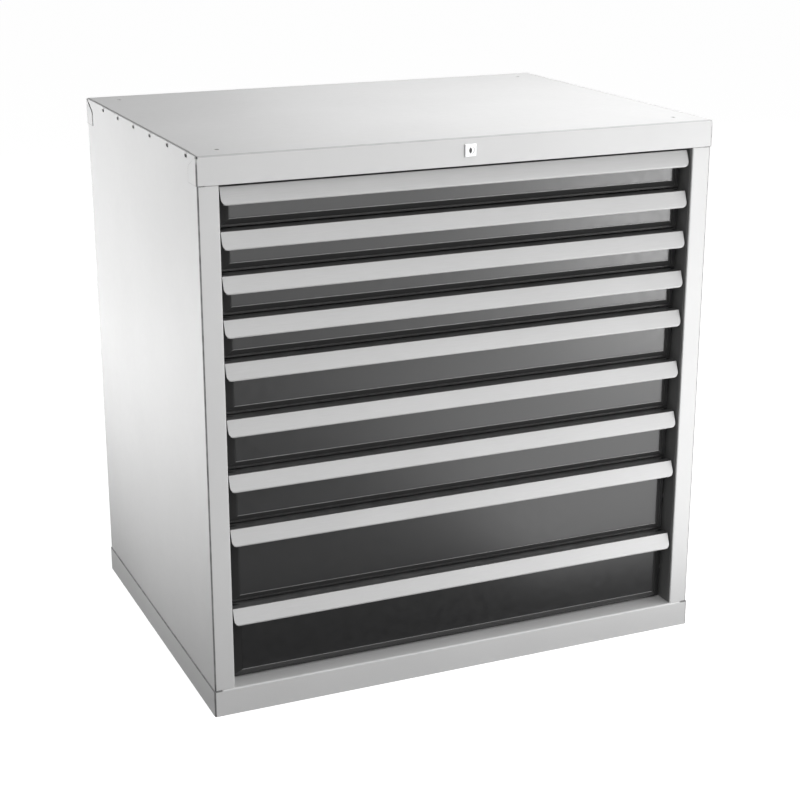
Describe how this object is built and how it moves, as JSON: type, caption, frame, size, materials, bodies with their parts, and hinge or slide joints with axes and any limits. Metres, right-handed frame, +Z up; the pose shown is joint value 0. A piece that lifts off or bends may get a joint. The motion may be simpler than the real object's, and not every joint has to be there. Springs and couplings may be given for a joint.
{
  "type": "industrial drawer cabinet",
  "caption": "Steel workshop cabinet with full-width telescopic drawers, black bevelled fronts under silver grip strips, and one lock in the top rail that holds all drawers.",
  "frame": {"origin": "middle of the whole part's footprint, on the floor", "axes": "+Z up, -Y the way the drawers pull out, +X to the right seen from the front"},
  "size_m": [0.975, 0.7276, 1],
  "materials": {
    "casing_paint": "satin light grey powder coat with a fine metallic sheen",
    "black_paint": "satin black powder coat",
    "box_paint": "satin black powder coat, guessed, because the boxes don't show",
    "grip_aluminium": "satin silver",
    "zinc_steel": "zinc plated",
    "lock_chrome": "satin chrome"
  },
  "bodies": {
    "cabinet": {"base_tray": "casing_paint", "side_panel_right": "casing_paint", "side_panel_left": "casing_paint", "rear_panel": "casing_paint", "top_cover": "casing_paint", "front_upright_right": "black_paint", "front_upright_left": "black_paint", "rear_upright_right": "black_paint", "rear_upright_left": "black_paint", "runners_right": "zinc_steel", "runners_left": "zinc_steel", "lock_housing": "lock_chrome", "lock_nut": "zinc_steel"},
    "lock": {"lock_barrel": "lock_chrome", "lock_cam": "zinc_steel"},
    "locking_bar": {"locking_crossbar": "zinc_steel", "cam_pin": "zinc_steel", "locking_comb_right": "zinc_steel", "locking_comb_left": "zinc_steel"},
    "drawer_1": {"drawer_1_front": "black_paint", "drawer_1_handle": "grip_aluminium", "drawer_1_box": "box_paint"},
    "slides_1": {"slide_middle_1": "zinc_steel"},
    "drawer_2": {"drawer_2_front": "black_paint", "drawer_2_handle": "grip_aluminium", "drawer_2_box": "box_paint"},
    "slides_2": {"slide_middle_2": "zinc_steel"},
    "drawer_3": {"drawer_3_front": "black_paint", "drawer_3_handle": "grip_aluminium", "drawer_3_box": "box_paint"},
    "slides_3": {"slide_middle_3": "zinc_steel"},
    "drawer_4": {"drawer_4_front": "black_paint", "drawer_4_handle": "grip_aluminium", "drawer_4_box": "box_paint"},
    "slides_4": {"slide_middle_4": "zinc_steel"},
    "drawer_5": {"drawer_5_front": "black_paint", "drawer_5_handle": "grip_aluminium", "drawer_5_box": "box_paint"},
    "slides_5": {"slide_middle_5": "zinc_steel"},
    "drawer_6": {"drawer_6_front": "black_paint", "drawer_6_handle": "grip_aluminium", "drawer_6_box": "box_paint"},
    "slides_6": {"slide_middle_6": "zinc_steel"},
    "drawer_7": {"drawer_7_front": "black_paint", "drawer_7_handle": "grip_aluminium", "drawer_7_box": "box_paint"},
    "slides_7": {"slide_middle_7": "zinc_steel"},
    "drawer_8": {"drawer_8_front": "black_paint", "drawer_8_handle": "grip_aluminium", "drawer_8_box": "box_paint"},
    "slides_8": {"slide_middle_8": "zinc_steel"},
    "drawer_9": {"drawer_9_front": "black_paint", "drawer_9_handle": "grip_aluminium", "drawer_9_box": "box_paint"},
    "slides_9": {"slide_middle_9": "zinc_steel"}
  },
  "joints": [
    {"name": "drawer_1_slide", "type": "slide", "parent": "cabinet", "child": "drawer_1", "axis": [0, -1, 0], "range_m": [0, 0.6]},
    {"name": "slides_1_slide", "type": "slide", "parent": "cabinet", "child": "slides_1", "axis": [0, -1, 0], "range_m": [0, 0.3]},
    {"name": "drawer_2_slide", "type": "slide", "parent": "cabinet", "child": "drawer_2", "axis": [0, -1, 0], "range_m": [0, 0.6]},
    {"name": "slides_2_slide", "type": "slide", "parent": "cabinet", "child": "slides_2", "axis": [0, -1, 0], "range_m": [0, 0.3]},
    {"name": "drawer_3_slide", "type": "slide", "parent": "cabinet", "child": "drawer_3", "axis": [0, -1, 0], "range_m": [0, 0.6]},
    {"name": "slides_3_slide", "type": "slide", "parent": "cabinet", "child": "slides_3", "axis": [0, -1, 0], "range_m": [0, 0.3]},
    {"name": "drawer_4_slide", "type": "slide", "parent": "cabinet", "child": "drawer_4", "axis": [0, -1, 0], "range_m": [0, 0.6]},
    {"name": "slides_4_slide", "type": "slide", "parent": "cabinet", "child": "slides_4", "axis": [0, -1, 0], "range_m": [0, 0.3]},
    {"name": "drawer_5_slide", "type": "slide", "parent": "cabinet", "child": "drawer_5", "axis": [0, -1, 0], "range_m": [0, 0.6]},
    {"name": "slides_5_slide", "type": "slide", "parent": "cabinet", "child": "slides_5", "axis": [0, -1, 0], "range_m": [0, 0.3]},
    {"name": "drawer_6_slide", "type": "slide", "parent": "cabinet", "child": "drawer_6", "axis": [0, -1, 0], "range_m": [0, 0.6]},
    {"name": "slides_6_slide", "type": "slide", "parent": "cabinet", "child": "slides_6", "axis": [0, -1, 0], "range_m": [0, 0.3]},
    {"name": "drawer_7_slide", "type": "slide", "parent": "cabinet", "child": "drawer_7", "axis": [0, -1, 0], "range_m": [0, 0.6]},
    {"name": "slides_7_slide", "type": "slide", "parent": "cabinet", "child": "slides_7", "axis": [0, -1, 0], "range_m": [0, 0.3]},
    {"name": "drawer_8_slide", "type": "slide", "parent": "cabinet", "child": "drawer_8", "axis": [0, -1, 0], "range_m": [0, 0.6]},
    {"name": "slides_8_slide", "type": "slide", "parent": "cabinet", "child": "slides_8", "axis": [0, -1, 0], "range_m": [0, 0.3]},
    {"name": "drawer_9_slide", "type": "slide", "parent": "cabinet", "child": "drawer_9", "axis": [0, -1, 0], "range_m": [0, 0.6]},
    {"name": "slides_9_slide", "type": "slide", "parent": "cabinet", "child": "slides_9", "axis": [0, -1, 0], "range_m": [0, 0.3]},
    {"name": "lock_turn", "type": "hinge", "parent": "cabinet", "child": "lock", "pos_m": [0, -0.36125, 0.977], "axis": [0, 1, 0], "range_deg": [0, 90]},
    {"name": "locking_bar_drop", "type": "slide", "parent": "cabinet", "child": "locking_bar", "axis": [0, 0, -1], "range_m": [0, 0.008]}
  ],
  "couplings": [
    {"joint": "slides_1_slide", "follows": "drawer_1_slide", "ratio": 0.5},
    {"joint": "slides_2_slide", "follows": "drawer_2_slide", "ratio": 0.5},
    {"joint": "slides_3_slide", "follows": "drawer_3_slide", "ratio": 0.5},
    {"joint": "slides_4_slide", "follows": "drawer_4_slide", "ratio": 0.5},
    {"joint": "slides_5_slide", "follows": "drawer_5_slide", "ratio": 0.5},
    {"joint": "slides_6_slide", "follows": "drawer_6_slide", "ratio": 0.5},
    {"joint": "slides_7_slide", "follows": "drawer_7_slide", "ratio": 0.5},
    {"joint": "slides_8_slide", "follows": "drawer_8_slide", "ratio": 0.5},
    {"joint": "slides_9_slide", "follows": "drawer_9_slide", "ratio": 0.5},
    {"joint": "lock_turn", "follows": "locking_bar_drop", "rad_per_m": 196.35}
  ]
}
